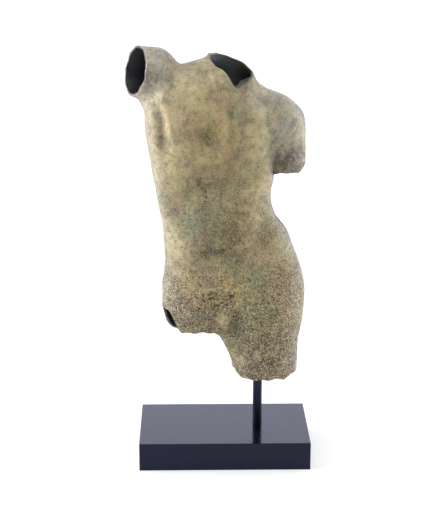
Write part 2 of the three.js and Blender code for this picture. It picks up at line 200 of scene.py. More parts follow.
def body(x, y, z):
    # distance from the smooth unbroken body, below zero inside: a superellipse of the trunk's half sizes,
    # cut off along the shoulders and above the fork, with limbs and muscles joined on
    across, deep, halfWidth, halfDepth = turnedSection(x, y, z)
    power = torsoForm["sectionPower"]
    near = ((np.abs(across) / halfWidth) ** power + (np.abs(deep) / halfDepth) ** power) ** (1 / power)
    steep = np.sqrt((across / halfWidth**2) ** 2 + (deep / halfDepth**2) ** 2)
    d = near * (near - 1) / np.maximum(steep, 1e-5)
    dips = sum(depth * np.exp(-((x - middle) / width) ** 2) for depth, middle, width in shoulderDips)
    above = z + shoulders["fallAcross"] * x - shoulders["riseBack"] * y - shoulders["height"] + dips
    d = -join(-d, -above / shoulders["steepness"], shoulders["fillet"])
    for shape, numbers, fillet in upperForms:
        d = join(d, shape(x, y, z, *numbers), fillet)
    d = -join(-d, z - trunkFoot["height"], trunkFoot["fillet"])
    for shape, numbers, fillet in legForms:
        d = join(d, shape(x, y, z, *numbers), fillet)
    return d


def hangingArm(x, y, z):
    # distance from the smooth unbroken stump of the hanging arm
    return limb(x, y, z, *hangingForm)


def rise(u, s, cu, cs, ru, rs, lean=0.0):
    # round swelling of height 1, fading smoothly to nothing at its rim
    c, k = math.cos(math.radians(lean)), math.sin(math.radians(lean))
    return 1 - ramp(0, 1, np.hypot((c * (u - cu) + k * (s - cs)) / ru, (-k * (u - cu) + c * (s - cs)) / rs))


def slab(u, s, cu, cs, ru, rs, power=2.6, top=0.35, foot=1.05):
    # squarer swelling with a flat top
    t = (np.abs((u - cu) / ru) ** power + np.abs((s - cs) / rs) ** power) ** (1 / power)
    return 1 - ramp(top, foot, t)


def ridge(u, s, path, width):
    # bell-shaped ridge along a bent line of (across, up, height)
    best = np.zeros_like(u)
    for (u0, s0, h0), (u1, s1, h1) in zip(path[:-1], path[1:]):
        du, ds = u1 - u0, s1 - s0
        t = np.clip(((u - u0) * du + (s - s0) * ds) / (du * du + ds * ds), 0, 1)
        far2 = (u - u0 - t * du) ** 2 + (s - s0 - t * ds) ** 2
        best = np.maximum(best, (h0 + (h1 - h0) * t) * np.exp(-far2 / (2 * width * width)))
    return best


def chestRelief(u, s):
    # height of the chest's modelling: the two breast muscles, less the furrows, plus folds and ribs
    h = 5.4 * (slab(u, s, -40, 475, 44, 50) + slab(u, s, 38, 478, 35, 46))
    h += 2.2 * (rise(u, s, -45, 452, 36, 22) + rise(u, s, 38, 456, 28, 22))
    h -= ridge(u, s, [(2, 520, 0.8), (1, 480, 1.6), (0, 436, 1.4), (0, 420, 0.4)], 6.5)  # breastbone
    h -= ridge(u, s, [(-98, 507, 1.5), (-89, 482, 3.2), (-83, 455, 2.8), (-79, 424, 0.6)], 4.8)  # armpit
    h += ridge(u, s, [(-86, 496, 0.8), (-79, 474, 2.2), (-73, 458, 1.6)], 4.5)  # its front fold
    h += ridge(u, s, [(-105, 496, 2), (-98, 468, 2), (-90, 430, 1.2), (-86, 400, 0)], 5)  # side of the back
    h -= ridge(u, s, [(50, 500, 0.6), (59, 476, 2.6), (67, 450, 3), (71, 424, 0.8)], 4.8)  # beside the arm
    h -= ridge(u, s, [(-80, 424, 0.3), (-66, 411, 1.2), (-36, 416, 1.6), (-16, 409, 1.6), (0, 414, 1)], 6)
    h -= ridge(u, s, [(0, 414, 1), (18, 412, 1.2), (38, 418, 1.2), (58, 416, 0.3)], 6)
    h += ridge(u, s, [(-30, 556, 1), (-22, 551, 2.4), (-8, 533, 2), (2, 522, 0.3)], 5)  # collarbone
    h -= 1.8 * rise(u, s, -46, 538, 26, 22) + 1.4 * rise(u, s, 48, 526, 24, 18)
    for side in (-1, 1):
        for rib in range(3):
            h += 0.9 * rise(u, s, side * (72 - 3 * rib), 410 - 23 * rib, 19, 11, side * -28)
    return h


def bellyRelief(u, s):
    # height of the belly's modelling: the midline, the muscles beside it, the navel and the flanks
    h = -ridge(u, s, [(-2, 410, 0.6), (-1, 380, 1), (0, 345, 0.9), (0, 322, 0.3)], 4.4)
    h -= ridge(u, s, [(-24, 408, 1.2), (-21, 370, 2), (-20, 335, 2), (-22, 308, 1)], 5.5)
    h -= ridge(u, s, [(23, 405, 1.2), (22, 365, 2.4), (18, 330, 2.2), (18, 300, 1)], 5.5)
    h += 3 * rise(u, s, -4, 284, 42, 36)  # lower belly
    h -= 3.4 * np.exp(-((u + 3.5) / 6.5) ** 2 - ((s - 313.5) / 3.6) ** 2)  # navel
    h -= 1.8 * rise(u, s, -23, 311, 15, 12)
    h += ridge(u, s, [(-13, 315, 0.3), (-6, 320.5, 1.4), (1, 320, 1.4), (7, 315, 0.3)], 2.4)
    h += ridge(u, s, [(52, 398, 0.6), (46, 380, 2.8), (41, 340, 3.6), (33, 305, 3), (20, 272, 0.6)], 7.5)
    h += ridge(u, s, [(-66, 374, 0.4), (-54, 345, 1.6), (-46, 306, 1.6), (-24, 268, 0.4)], 9)
    h += 3 * (rise(u, s, 74, 322, 30, 26, -15) + rise(u, s, -64, 322, 28, 26, 15))
    return h


def hairPatch(u, s):
    # 1 inside the wedge of hair, 0 outside: it narrows downwards about a leaning middle line
    middle = -10 + 6 * ramp(256, 215, s)
    width = 24 * ramp(205, 256, s) + 6
    return ramp(259, 253, s) * ramp(214, 236, s) * ramp(1, 0.7, np.abs(u - middle) / width)


def groinRelief(u, s):
    # height of the groin's modelling: the two grooves, the hair's mound and the worn forms below it
    h = -ridge(u, s, [(94, 296, 0.6), (60, 268, 1.2), (36, 244, 1.2), (24, 230, 0.6)], 9)
    h -= ridge(u, s, [(-90, 290, 0.6), (-66, 262, 1.2), (-44, 240, 1.2), (-28, 226, 0.5)], 9)
    h += 1.4 * hairPatch(u, s) + 1.6 * rise(u, s, -8, 244, 38, 28)
    h += ridge(u, s, [(-42, 261, 0.3), (-28, 258.5, 1.1), (16, 256, 1.1), (32, 253, 0.3)], 2.6)
    h += 7 * slab(u, s, -2, 211, 10, 17, 2.2, 0.1, 1.2)  # worn stump
    h -= ridge(u, s, [(15, 228, 1), (16, 216, 3.2), (11, 198, 3.6), (8, 182, 1)], 3.6)
    h -= ridge(u, s, [(-13, 226, 0.4), (-15, 210, 1.5), (-13, 197, 0.8)], 3.8)
    return h


def backRelief(u, s):
    # height of the back's modelling: the spine's furrow, shoulder blades, loins and buttocks
    h = -ridge(u, s, [(0, 536, 1), (0, 500, 3.5), (0, 400, 4.5), (0, 340, 4.5), (0, 300, 2.5)], 7.5)
    for side in (-1, 1):
        h += 3.2 * rise(u, s, side * 20, 380, 20, 95)
        h += 4.5 * rise(u, s, side * 50, 484, 36, 44, side * 12)  # shoulder blade
        h += 3 * rise(u, s, side * 60, 420, 36, 54, side * -14)
        h -= ridge(u, s, [(side * 18, 430, 0.3), (side * 36, 438, 2.2), (side * 58, 448, 2.2)], 7)
    h -= ridge(u, s, [(0, 282, 1), (1, 262, 5), (2, 225, 6.5), (3, 185, 5)], 6.5)
    h -= ridge(u, s, [(-72, 212, 0.4), (-46, 200, 2.8), (-16, 196, 2.4)], 8)
    h -= ridge(u, s, [(20, 202, 2.4), (50, 200, 2.8), (80, 214, 0.4)], 8)
    return h


def skinPlace(p):
    # across and up along the body's own middle and level lines, and how far through
    across, deep, halfWidth, halfDepth = turnedSection(*p.T)
    u = across - along(sections, 6, p[:, 2])
    return u, p[:, 2] + along(tilts, 1, p[:, 2]) * u, deep


def relief(p):
    # front and back modelling, each fading out round the sides
    u, s, deep = skinPlace(p)
    front = ramp(18, -12, deep) * (chestRelief(u, s) + bellyRelief(u, s) + groinRelief(u, s))
    return front + ramp(-14, 10, deep) * backRelief(u, s)


def ragged(p, q, start):
    # broad waves of a break: three sines of different lengths
    return (1.3 * np.sin(p * 0.31 + start) + 0.9 * np.sin(p * 0.13 + q * 0.23 + 2 * start)
            + 0.7 * np.sin(q * 0.47 - start))


def chipped(p, q, start):
    # the coarse line of the break with small chips on it
    at = np.stack([p, q, np.full_like(p, start * 7.0)], 1)
    return 0.4 * lattice(at, 7, 11) + 0.3 * lattice(at, 3.2, 12)


def neckBreak(x, y):
    # a plane that falls towards the hanging arm and rises to the back, with a steep dip at the front
    frontDip = 15 * np.exp(-np.abs((x - 20) / 18.5) ** 4 - np.abs((y + 36.6) / 19.8) ** 2.5)
    return 555.3 - 0.394 * (x - 8) + 0.248 * y - frontDip + 0.4 * ragged(x, y, 1) + chipped(x, y, 1)


def armBreak(x, y):
    # level, and higher at the outer side
    return 411.7 + 11 * ramp(100, 116, x) + 0.5 * ragged(x, y, 3) + chipped(x, y, 3)


def rightThighBreak(x, y):
    # nearly level, with raised corners and a tongue that hangs down behind
    tongue = 20 * np.exp(-((x - 30) / 12) ** 2) * ramp(14, 38, y)
    corners = 9 * ramp(28, 8, x) * ramp(18, 4, y) + 3 * ramp(88, 100, x)
    return 121 - 5 * ramp(5, 40, y) - tongue + corners + 0.6 * ragged(x, y, 4) + chipped(x, y, 4)


def leftThighBreak(x, y):
    # level in front, rising at the outer side and falling to the back
    outerRise = 31 * ramp(-57, -82, x) * (1 - ramp(9, 35, y))
    level = 190 + outerRise - 19 * ramp(-8, 36, y) - 5.5 * ramp(-22, -8, x)
    return level + 0.7 * ragged(x, y, 5) + chipped(x, y, 5)


def raisedArmBreak(p, q):
    # flat across the arm but for its waves and chips
    return 0.3 * ragged(p, q, 2) + chipped(p, q, 2)


def forkSide(z):
    # how far across the broken thigh reaches at each height: a power curve that leaves the fork
    return 11.5 - 26 * np.clip((z - 122) / 66, 0, 1) ** 2.2


raisedArmCut = {"place": (-119.4, 0, 552), "inward": (0.89, 0.415, -0.2)}
forkCut = {"top": 190.0, "outer": -112}


def wrap(form, low, high, cell):
    # closed skin of a distance field: one point per crossed cell, the mean of its edge crossings,
    # and a four-sided face across every grid edge that the surface passes
    axes = [np.arange(low[i], high[i] + cell, cell) for i in range(3)]
    value = form(*np.meshgrid(*axes, indexing="ij"))
    for side in (0, -1):  # closed where the form runs out of the grid
        value[side], value[:, side], value[:, :, side] = 1, 1, 1
    inside = value < 0
    size = np.array(value.shape)

    def corner(grid, c):
        return grid[c[0]:size[0] - 1 + c[0], c[1]:size[1] - 1 + c[1], c[2]:size[2] - 1 + c[2]]

    count = sum(corner(inside, c).astype(np.int8) for c in cubeCorners)
    crossed = (count > 0) & (count < 8)
    cells = np.argwhere(crossed)
    number = np.full(crossed.shape, -1, np.int64)
    number[crossed] = np.arange(len(cells))
    atCorner = {c: corner(value, c)[crossed] for c in cubeCorners}
    total, crossings = np.zeros((len(cells), 3)), np.zeros(len(cells))
    for c in cubeCorners:
        for axis in range(3):
            if c[axis] == 0:
                e = tuple(1 if m == axis else c[m] for m in range(3))
                a, b = atCorner[c], atCorner[e]
                hit = (a < 0) != (b < 0)
                t = np.where(hit, a / np.where(hit, a - b, 1), 0)
                total += np.where(hit[:, None], np.array(c) + t[:, None] * (np.array(e) - np.array(c)), 0)
                crossings += hit
    points = np.array(low) + cell * (cells + total / crossings[:, None])
    faces = []
    for axis in range(3):
        s, t = (axis + 1) % 3, (axis + 2) % 3
        first = np.take(inside, range(size[axis] - 1), axis)
        edge = np.argwhere(first != np.take(inside, range(1, size[axis]), axis))
        across = edge[:, [s, t]]
        edge = edge[((across > 0) & (across < size[[s, t]] - 1)).all(1)]
        outward = first[tuple(edge.T)]
        around = []
        for ds, dt in ((1, 1), (0, 1), (0, 0), (1, 0)):
            at = edge.copy()
            at[:, s] -= ds
            at[:, t] -= dt
            around.append(number[tuple(at.T)])
        quad = np.stack(around, 1)
        faces.append(np.where(outward[:, None], quad, quad[:, ::-1]))
    return points, np.concatenate(faces)


def outwards(form, p):
    # unit direction in which the distance grows, from differences half a millimetre to either side
    e = 0.5
    g = np.stack([form(*(p + e * np.eye(3)[a]).T) - form(*(p - e * np.eye(3)[a]).T) for a in range(3)], 1)
    return g / np.maximum(np.linalg.norm(g, axis=1, keepdims=True), 1e-9)


def makeObject(name, points, faces, smooth=True):
    # a mesh from whole arrays of points in mm and of faces with the same number of corners
    mesh = bpy.data.meshes.new(name)
    faces = np.asarray(faces)
    mesh.vertices.add(len(points))
    mesh.vertices.foreach_set("co", (np.asarray(points) * mm).astype(np.float32).ravel())
    mesh.loops.add(faces.size)
    mesh.loops.foreach_set("vertex_index", faces.ravel().astype(np.int32))
    mesh.polygons.add(len(faces))
    mesh.polygons.foreach_set("loop_start", np.arange(0, faces.size, faces.shape[1], dtype=np.int32))
    mesh.update(calc_edges=True)
    mesh.validate()
    mesh.polygons.foreach_set("use_smooth", np.full(len(mesh.polygons), smooth))
    thing = bpy.data.objects.new(name, mesh)
    bpy.context.scene.collection.objects.link(thing)
    return thing


def carve(thing, other, operation):
    # boolean, applied at once; the other solid is used up
    work = thing.modifiers.new("carve", "BOOLEAN")
    work.solver = "MANIFOLD"
    work.operation = operation
    work.object = other
    bpy.context.view_layer.update()
    old = thing.data
    thing.data = bpy.data.meshes.new_from_object(thing.evaluated_get(bpy.context.evaluated_depsgraph_get()))
    thing.modifiers.clear()
    bpy.data.meshes.remove(old)
    bpy.data.objects.remove(other)
    return thing


def breakBlock(name, height, across, through, foot, layers=1, place=None):
    # block whose top is the uneven surface height(p, q) and whose other end is flat at "foot"
    step = torsoForm["breakCell"]
    p, q = (np.arange(start, end + step, step) for start, end in (across, through))
    gridP, gridQ = (g.ravel() for g in np.meshgrid(p, q, indexing="ij"))
    top = height(gridP, gridQ)
    points = [np.stack([gridP, gridQ, foot + (top - foot) * n / layers], 1) for n in range(layers + 1)]
    index = np.arange(len(gridP)).reshape(len(p), len(q))
    lid = np.stack([index[:-1, :-1], index[1:, :-1], index[1:, 1:], index[:-1, 1:]], -1).reshape(-1, 4)
    rim = np.concatenate([index[:, 0], index[-1, 1:], index[-2::-1, -1], index[0, -2:0:-1]])
    after = np.roll(rim, -1)
    faces = [lid[:, ::-1], lid + layers * index.size]
    for k in range(layers):
        low, high = k * index.size, (k + 1) * index.size
        faces.append(np.stack([rim + low, after + low, after + high, rim + high], 1))
    points, faces = np.concatenate(points), np.concatenate(faces)
    if top.mean() < foot:  # the foot is above the uneven face, so the block is inside out
        faces = faces[:, ::-1]
    return makeObject(name, place(points) if place else points, faces, smooth=False)


def swungAside(points):
    # the far side of the left thigh's block follows the curve of the fork
    outer = forkCut["outer"]
    share = (points[:, 0] - outer) / (forkSide(forkCut["top"]) - outer)
    return np.stack([outer + share * (forkSide(points[:, 2]) - outer), points[:, 1], points[:, 2]], 1)


def turnedToArm(points):
    # the block is turned so that its height runs into the raised arm
    facing = Vector(raisedArmCut["inward"]).normalized()
    turn = Vector((0, 0, 1)).rotation_difference(facing).to_matrix()
    return points @ np.array(turn).T + np.array(raisedArmCut["place"])


armBlock = {"name": "below_arm", "height": armBreak, "across": (30, 130), "through": (-40, 76), "foot": 300}
trunkBlocks = [
    {"name": "above_neck", "height": neckBreak, "across": (-46, 58), "through": (-62, 68), "foot": 700},
    {"name": "past_arm", "height": raisedArmBreak, "across": (-60, 60), "through": (-60, 60), "foot": -90,
     "place": turnedToArm},
    {"name": "below_right", "height": rightThighBreak, "across": (-10, 125), "through": (-70, 80),
     "foot": 20},
    {"name": "below_left", "height": leftThighBreak, "through": (-84, 100), "foot": 128, "layers": 6,
     "across": (forkCut["outer"], float(forkSide(forkCut["top"]))), "place": swungAside},
]


def coarseness(p):
    # how rough the skin is: nearly smooth on the shoulders, coarse on the loins and the thighs
    return 0.12 + 0.38 * ramp(470, 330, p[:, 2]) + 0.5 * ramp(300, 235, p[:, 2])


def unevenness(p):
    # what the mould, the cleaning and the ground left on the skin: broad hollows, then grit
    broad = lattice(p, 26, 1) * 0.6 + lattice(p, 13, 2) * 0.4
    grit = lattice(p, 6.5, 3) * 0.6 + lattice(p, 3.8, 4) * 0.5
    return torsoForm["swell"] * broad + torsoForm["grit"] * grit * (0.6 + coarseness(p))


def curls(p):
    # lumps of hair: noise folded upwards at its zero line, inside the patch only
    u, s, deep = skinPlace(p)
    lumps = np.abs(lattice(p, 6.0, 21)) + 0.5 * lattice(p, 3.6, 22)
    return torsoForm["curl"] * hairPatch(u, s) * ramp(18, -12, deep) * lumps


def boxShape(low, high):
    # the eight corners and six faces of a plain box
    points = np.where(cubeCorners, high, low).astype(float)
    faces = [[0, 1, 3, 2], [4, 6, 7, 5], [0, 4, 5, 1], [2, 3, 7, 6], [0, 2, 6, 4], [1, 5, 7, 3]]
    return points, np.array(faces)


# the space in which each skin is looked for, and the part of the trunk that closes off the arm's hollow, mm
bodySpace = [(-158, -84, 82), (124, 84, 612)]
hollowSpace = [(-164, -84, 76), (124, 84, 618)]
armSpace = [(40, -28, 330), (122, 62, 520)]
armStop = [(-30, -110, 230), (190, 110, 440)]


def buildTorso():
    # skins of the smooth body and of its hollow, pushed out by the modelling, then joined and broken off
    wall, cell = torsoForm["wall"], torsoForm["skinCell"]
    skin, skinFaces = wrap(body, *bodySpace, cell)
    print("outer skin", len(skin), "points")
    skin = skin + outwards(body, skin) * (relief(skin) + unevenness(skin) + curls(skin))[:, None]
    casting = makeObject("torso_skin", skin, skinFaces)
    core, coreFaces = wrap(lambda x, y, z: body(x, y, z) + wall, *hollowSpace, torsoForm["hollowCell"])
    dent = np.minimum(relief(core) - 0.6, 0) + 0.4 * lattice(core, 15, 6)
    core = core + outwards(body, core) * dent[:, None]
    hollow = makeObject("hollow", core, coreFaces)
    arm, armFaces = wrap(hangingArm, *armSpace, cell)
    arm = arm + outwards(hangingArm, arm) * unevenness(arm)[:, None]
    armSkin = makeObject("arm_skin", arm, armFaces)
    carve(armSkin, breakBlock(**armBlock), "DIFFERENCE")
    armCore = wrap(lambda x, y, z: hangingArm(x, y, z) + wall, *armSpace, torsoForm["armHollowCell"])
    armHollow = makeObject("arm_hollow", *armCore)
    trunkPart = makeObject("trunk_copy", skin, skinFaces)
    carve(trunkPart, makeObject("low_part", *boxShape(*armStop)), "INTERSECT")
    carve(armHollow, trunkPart, "DIFFERENCE")
    carve(casting, armSkin, "UNION")
    carve(casting, hollow, "DIFFERENCE")
    carve(casting, armHollow, "DIFFERENCE")
    for block in trunkBlocks:
        carve(casting, breakBlock(**block), "DIFFERENCE")
    print("casting", len(casting.data.polygons), "faces")
    return casting


def pointsOf(thing):
    # every point of a mesh, in mm
    flat = np.empty(len(thing.data.vertices) * 3, np.float32)
    thing.data.vertices.foreach_get("co", flat)
    return flat.reshape(-1, 3).astype(float) / mm


def fitInto(thing, low, high):
    # a last small squeeze, so that no lump of the skin leaves the solid's box
    p = pointsOf(thing)
    gap = torsoForm["boxGap"]
    start, end = np.maximum(p.min(0), low + gap), np.minimum(p.max(0), high - gap)
    print("squeeze", ((end - start) / (p.max(0) - p.min(0))).round(4))
    placed = start + (p - p.min(0)) / (p.max(0) - p.min(0)) * (end - start)
    thing.data.vertices.foreach_set("co", (placed * mm).astype(np.float32).ravel())
    thing.data.update()


def paintGuide(thing, name, values):
    # one number for each point, which the material reads by its name
    layer = thing.data.attributes.new(name, "FLOAT", "POINT")
    layer.data.foreach_set("value", np.asarray(values, np.float32))


# soft round patches of the patina and of painted light and shade: (x, z, radius across, radius up, strength),
# mm
patinaSpots = {
    "greening": [
        (-44, 350, 24, 34, 1.0), (-8, 384, 16, 30, 0.5), (28, 205, 18, 22, 0.9), (42, 265, 14, 26, 0.7),
        (-34, 548, 26, 14, 0.5), (6, 300, 26, 16, 0.5),
    ],
    # painted light: pale patches on ridges and on the sides that face the lamps, and pale wear on the stump
    "paintedLightAndWear": [
        (-62, 322, 18, 24, 1.0), (-75, 462, 6, 16, 0.3), (33, 350, 8, 40, 0.7), (-18, 545, 16, 12, 0.6),
        (-2, 212, 7, 12, 0.6), (10, 156, 10, 16, 0.7), (-4, 257, 36, 3.2, 1.0), (-60, 432, 26, 14, 0.5),
        (30, 470, 26, 26, 0.5), (-50, 505, 30, 20, 0.4), (-96, 420, 8, 60, 0.5),
    ],
    # purple-brown patina, and painted shade under the arms
    "brownAndShade": [
        (84, 262, 30, 50, 0.6), (62, 170, 50, 50, 0.65), (-40, 232, 30, 22, 0.5), (88, 420, 24, 20, 1.0),
        (-66, 208, 34, 24, 1.0), (60, 130, 52, 34, 1.0), (98, 424, 20, 24, 1.2), (-84, 462, 14, 22, 0.5),
        (-96, 530, 26, 22, 0.3), (-78, 262, 18, 22, 0.6),
    ],
    # pale grey spots on the shoulders; the flanks get it below as painted light
    "greyAndFlankLight": [(-100, 560, 36, 30, 1.0), (60, 512, 40, 22, 0.8), (88, 470, 26, 50, 0.7)],
    "ochre": [
        (-10, 470, 60, 60, 0.7), (10, 350, 50, 70, 0.6), (0, 250, 60, 30, 0.9), (60, 200, 40, 50, 0.5),
    ],
    # painted shade in creases, under the breast and under the arm's stump, with darker patina down the middle
    # of the belly
    "shadeAndDarkPatina": [
        (2, 335, 26, 44, 0.6), (-23, 311, 12, 12, 0.8), (-30, 470, 14, 16, 0.5), (-22, 412, 18, 10, 0.6),
        (66, 458, 8, 18, 0.6), (14, 196, 14, 24, 0.9), (60, 168, 40, 60, 0.5), (-86, 480, 6, 26, 0.4),
        (84, 424, 16, 14, 0.6),
    ],
}
# thin dark lines down the front: painted shade below the left breast, along the belly's grooves, in the navel
# and along the groin's groove, and a dark mark on the left breast: bent line of (across, up, strength), width
crackAndCreaseShadeLines = [
    ([(-36, 406, 0.9), (-27, 396, 1), (-15, 381, 0.7)], 1.5),
    ([(-25, 412, 0.6), (-21, 388, 0.9), (-17, 352, 0.5)], 1.5),
    ([(-12, 312, 0.8), (-3, 311, 1), (6, 316, 0.7)], 2.0),
    ([(16, 222, 0.6), (14, 206, 1), (8, 186, 0.8)], 3.0),
    ([(-30, 476, 0.5), (-33, 470, 1), (-28, 462, 0.6)], 3.5),
]


def spots(p, places):
    # sum of bells, each with its own middle, half width, half height and strength
    total = np.zeros(len(p))
    for x, z, ru, rz, strength in places:
        total += strength * np.exp(-((p[:, 0] - x) / ru) ** 2 - ((p[:, 2] - z) / rz) ** 2)
    return total


def fromBreaks(x, y, z, inArm, fromNeck):
    # distance in mm from the nearest break, each counted only near its own opening
    farOff = 999
    inward = np.array(Vector(raisedArmCut["inward"]).normalized())
    toArm = (np.stack([x, y, z], 1) - np.array(raisedArmCut["place"])) @ inward
    neck = np.where(fromNeck < 56, neckBreak(x, y) - z, farOff)
    armEnd = np.where((x > 52) & (inArm < 3) & (z < 446), z - armBreak(x, y), farOff)
    thigh = np.where(x > 2, z - rightThighBreak(x, y), farOff)
    stub = np.where(x < 8, z - leftThighBreak(x, y), farOff)
    return np.clip(np.minimum.reduce([neck, toArm, armEnd, thigh, stub]), 0, None)


def guideTorso(casting):
    # what the material needs to know at each place of the finished skin
    p = pointsOf(casting)
    x, y, z = p.T
    deep, inArm, fromNeck = body(x, y, z) - relief(p), hangingArm(x, y, z), np.hypot(x - 8, y - 8)
    armOnly = (x > 50) & (z < 446) & (inArm < 1.5) & (deep > -1.5)
    inside = ramp(-1.2, -2.2, np.where(armOnly, inArm, deep))
    nearest = fromBreaks(x, y, z, inArm, fromNeck)
    paintGuide(casting, "nearBreak", np.exp(-nearest / 22.0))
    paintGuide(casting, "hollow", inside)
    # painted light: the inside of the neck is paler towards its top and its left
    paintGuide(casting, "neckLight", inside * ramp(490, 535, z) * ramp(66, 46, fromNeck) * ramp(36, 6, x)
               * (1 - 0.7 * np.exp(-nearest / 3.0)))
    paintGuide(casting, "coarse", coarseness(p))
    u, s, through = skinPlace(p)
    paintGuide(casting, "furrow", np.clip(-relief(p) / 4.0, 0, 1) * (1 - inside))
    paintGuide(casting, "hair", hairPatch(u, s) * ramp(18, -12, through))
    crackAndCreaseShadeAmount = sum(ridge(u, s, path, width) for path, width in crackAndCreaseShadeLines)
    paintGuide(casting, "crackAndCreaseShade", np.clip(crackAndCreaseShadeAmount, 0, 1) * ramp(10, -14, through))
    left, right = along(sections, 1, z), along(sections, 2, z)
    flank = ramp(0.72, 1.0, np.abs(x - left / 2 - right / 2) / ((right - left) / 2))
    front = ramp(10, -20, through)
    for name, places in patinaSpots.items():
        amount = spots(p, places)
        # painted light: the flanks paled to grey
        if name == "greyAndFlankLight":
            amount = np.clip(0.75 * flank + amount, 0, 1)
        elif name != "brownAndShade":
            amount = front * amount
        paintGuide(casting, name, amount)


casting = buildTorso()
fitInto(casting, castLow, castHigh)
guideTorso(casting)
casting.data.set_sharp_from_angle(angle=math.radians(torsoForm["crease"]))
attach(casting, "root")
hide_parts("torso_casting")
print("torso done")

rodForm = {"sides": 64, "chamfer": 0.6, "crease": 30}


def lathe(name, profile, sides, middle):
    # a profile of (radius, height) turned about an upright axis, closed at both ends on the axis
    profile = np.array(profile, float)
    angle = np.arange(sides) * 2 * math.pi / sides
    ring = profile[1:-1]
    x = middle[0] + ring[:, 0:1] * np.cos(angle)
    y = middle[1] + ring[:, 0:1] * np.sin(angle)
    z = np.repeat(ring[:, 1:2], sides, 1)
    ends = [[middle[0], middle[1], profile[0, 1]], [middle[0], middle[1], profile[-1, 1]]]
    points = np.concatenate([np.stack([x, y, z], -1).reshape(-1, 3), ends])
    index = np.arange(len(ring) * sides).reshape(len(ring), sides)
    after = np.roll(index, -1, 1)
    walls = np.stack([index[:-1], after[:-1], after[1:], index[1:]], -1).reshape(-1, 4)
    foot = np.stack([np.full(sides, len(points) - 2), after[0], index[0]], 1)
    head = np.stack([np.full(sides, len(points) - 1), index[-1], after[-1]], 1)
    mesh = bpy.data.meshes.new(name)
    mesh.from_pydata((points * mm).tolist(), [], walls.tolist() + foot.tolist() + head.tolist())
    mesh.update()
    thing = bpy.data.objects.new(name, mesh)
    bpy.context.scene.collection.objects.link(thing)
    mesh.polygons.foreach_set("use_smooth", np.ones(len(mesh.polygons), bool))
    mesh.set_sharp_from_angle(angle=math.radians(rodForm["crease"]))
    return thing


radius = (rodHigh[0] - rodLow[0]) / 2
rodMiddle = (rodLow + rodHigh) / 2
rodFoot, rodHead, bevel = rodLow[2], rodHigh[2], rodForm["chamfer"]
rodProfile = [(0, rodFoot), (radius - bevel, rodFoot), (radius, rodFoot + bevel),
              (radius, rodHead - bevel), (radius - bevel, rodHead), (0, rodHead)]
rod = lathe("rod_bar", rodProfile, rodForm["sides"], rodMiddle)
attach(rod, "root")
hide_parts("support_rod")

plinthForm = {
    "arris": 0.9,           # width of the rounded edge, mm
    "arrisSteps": 3,
    "fitGap": 0.3,          # play round the rod in its socket, mm
    "socketSides": 64,
    "socketOver": 5,        # how far the cutter stands over the top, mm
    "crease": 20,           # edges sharper than this stay hard, degrees
    "arrisAngle": 50,       # edges sharper than this are rounded, degrees
}

plinth = makeObject("plinth_block", *boxShape(slabLow, slabHigh), smooth=False)
socketRadius = radius + plinthForm["fitGap"]
cutterTop = slabHigh[2] + plinthForm["socketOver"]
socketProfile = [(0, rodFoot), (socketRadius, rodFoot), (socketRadius, cutterTop), (0, cutterTop)]
carve(plinth, lathe("socket", socketProfile, plinthForm["socketSides"], rodMiddle), "DIFFERENCE")
edge = plinth.modifiers.new("arris", "BEVEL")
edge.width = plinthForm["arris"] * mm
edge.segments = plinthForm["arrisSteps"]
edge.limit_method = "ANGLE"
edge.angle_limit = math.radians(plinthForm["arrisAngle"])
edge.harden_normals = True
plinth.data.polygons.foreach_set("use_smooth", np.ones(len(plinth.data.polygons), bool))
plinth.data.set_sharp_from_angle(angle=math.radians(plinthForm["crease"]))
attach(plinth, "root")
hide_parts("plinth")
print("rod and plinth done")


def newMaterial(name):
    # a material and its one shader, whose sockets take the colours, patterns and values
    material = bpy.data.materials.new(name)
    material.use_nodes = True
    tree = material.node_tree
    return material, tree, tree.nodes["Principled BSDF"]


def addNode(tree, kind, inputs, output=None, **properties):
    # one node, its properties, and its inputs by identifier: a value is set, another node's output is linked
    made = tree.nodes.new(kind)
    for name, value in properties.items():
        setattr(made, name, value)
    for socket in made.inputs:
        value = inputs.get(socket.identifier)
        if isinstance(value, bpy.types.NodeSocket):
            tree.links.new(value, socket)
        elif value is not None:
            socket.default_value = value
    return next(s for s in made.outputs if s.enabled and output in (None, s.name))


def cloudyPatterns(tree, table):
    # layered noise for each row: size of its features in mm, detail, roughness, shift of its middle
    place = addNode(tree, "ShaderNodeTexCoord", {}, "Object")
    patterns = {}
    for name, (size, detail, roughness, shift) in table.items():
        moved = addNode(tree, "ShaderNodeVectorMath", {"Vector": place, "Vector_001": shift}, operation="ADD")
        settings = {"Vector": moved, "Scale": 1 / (size * mm), "Detail": detail, "Roughness": roughness}
        patterns[name] = addNode(tree, "ShaderNodeTexNoise", settings)
    return patterns


def step(start, end, least=0.0, most=1.0):
    # the settings of a soft step: from least to most as a value goes from start to end
    return {"From Min": start, "From Max": end, "To Min": least, "To Max": most}


